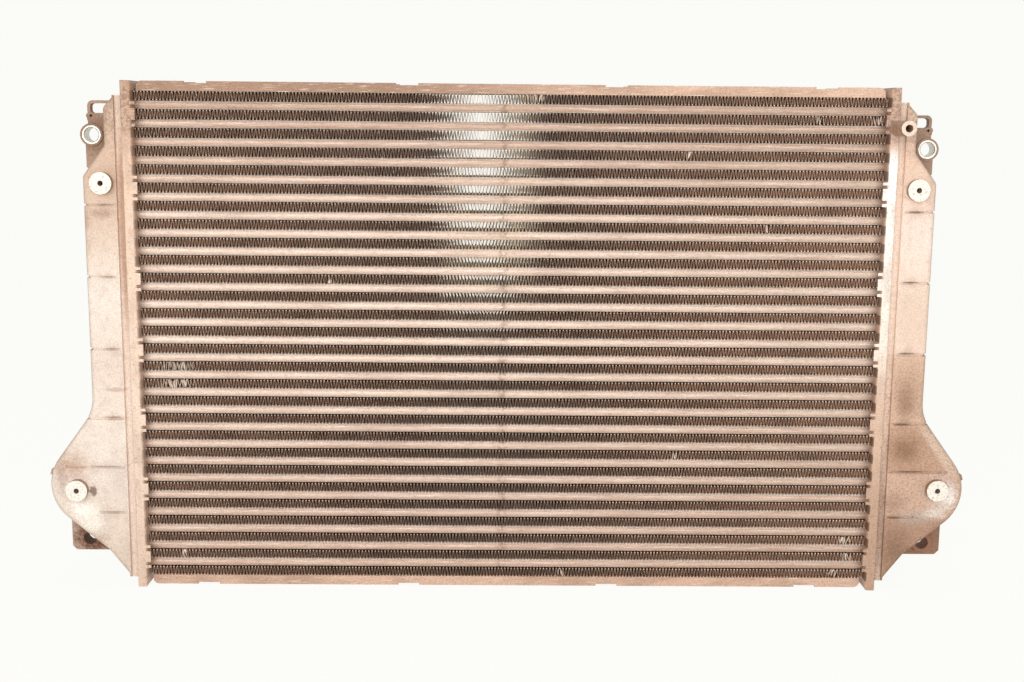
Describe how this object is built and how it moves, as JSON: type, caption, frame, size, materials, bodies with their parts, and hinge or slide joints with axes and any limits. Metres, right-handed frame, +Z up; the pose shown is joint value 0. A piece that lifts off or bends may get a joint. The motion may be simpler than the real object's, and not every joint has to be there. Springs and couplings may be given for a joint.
{
  "type": "intercooler",
  "caption": "Aluminium tube-and-fin charge-air cooler with cast end tanks, mounting eyes, front bosses and two rear hose necks.",
  "frame": {"origin": "bottom of the header plates, in the middle of the width and of the depth", "axes": "+X to the right seen from the front, +Y from the front face to the rear, +Z up"},
  "size_m": [0.8626, 0.138, 0.472],
  "materials": {
    "tube_metal": "brazed aluminium, dulled by road dirt",
    "fin_metal": "thin brazed aluminium strip, dusty",
    "sheet_metal": "folded aluminium sheet, dull",
    "cast_metal": "sand-textured die casting, dusty",
    "bush_steel": "zinc-plated turned steel",
    "seal_rubber": "moulded black rubber"
  },
  "bodies": {
    "root": {"tube_01": "tube_metal", "tube_02": "tube_metal", "tube_03": "tube_metal", "tube_04": "tube_metal", "tube_05": "tube_metal", "tube_06": "tube_metal", "tube_07": "tube_metal", "tube_08": "tube_metal", "tube_09": "tube_metal", "tube_10": "tube_metal", "tube_11": "tube_metal", "tube_12": "tube_metal", "tube_13": "tube_metal", "tube_14": "tube_metal", "tube_15": "tube_metal", "tube_16": "tube_metal", "tube_17": "tube_metal", "tube_18": "tube_metal", "tube_19": "tube_metal", "tube_20": "tube_metal", "tube_21": "tube_metal", "tube_22": "tube_metal", "tube_23": "tube_metal", "tube_24": "tube_metal", "tube_25": "tube_metal", "tube_26": "tube_metal", "tube_27": "tube_metal", "fin_strips_01_02": "fin_metal", "fin_strips_03_04": "fin_metal", "fin_strips_05_06": "fin_metal", "fin_strips_07_08": "fin_metal", "fin_strips_09_10": "fin_metal", "fin_strips_11_12": "fin_metal", "fin_strips_13_14": "fin_metal", "fin_strips_15_16": "fin_metal", "fin_strips_17_18": "fin_metal", "fin_strips_19_20": "fin_metal", "fin_strips_21_22": "fin_metal", "fin_strips_23_24": "fin_metal", "fin_strips_25_26": "fin_metal", "fin_strips_27_28": "fin_metal", "inner_fins": "fin_metal", "top_side_plate": "sheet_metal", "bottom_side_plate": "sheet_metal", "left_header_plate": "sheet_metal", "left_gasket": "seal_rubber", "left_end_tank": "cast_metal", "left_eye_bush": "bush_steel", "right_header_plate": "sheet_metal", "right_gasket": "seal_rubber", "right_end_tank": "cast_metal", "right_eye_bush": "bush_steel"}
  },
  "joints": []
}
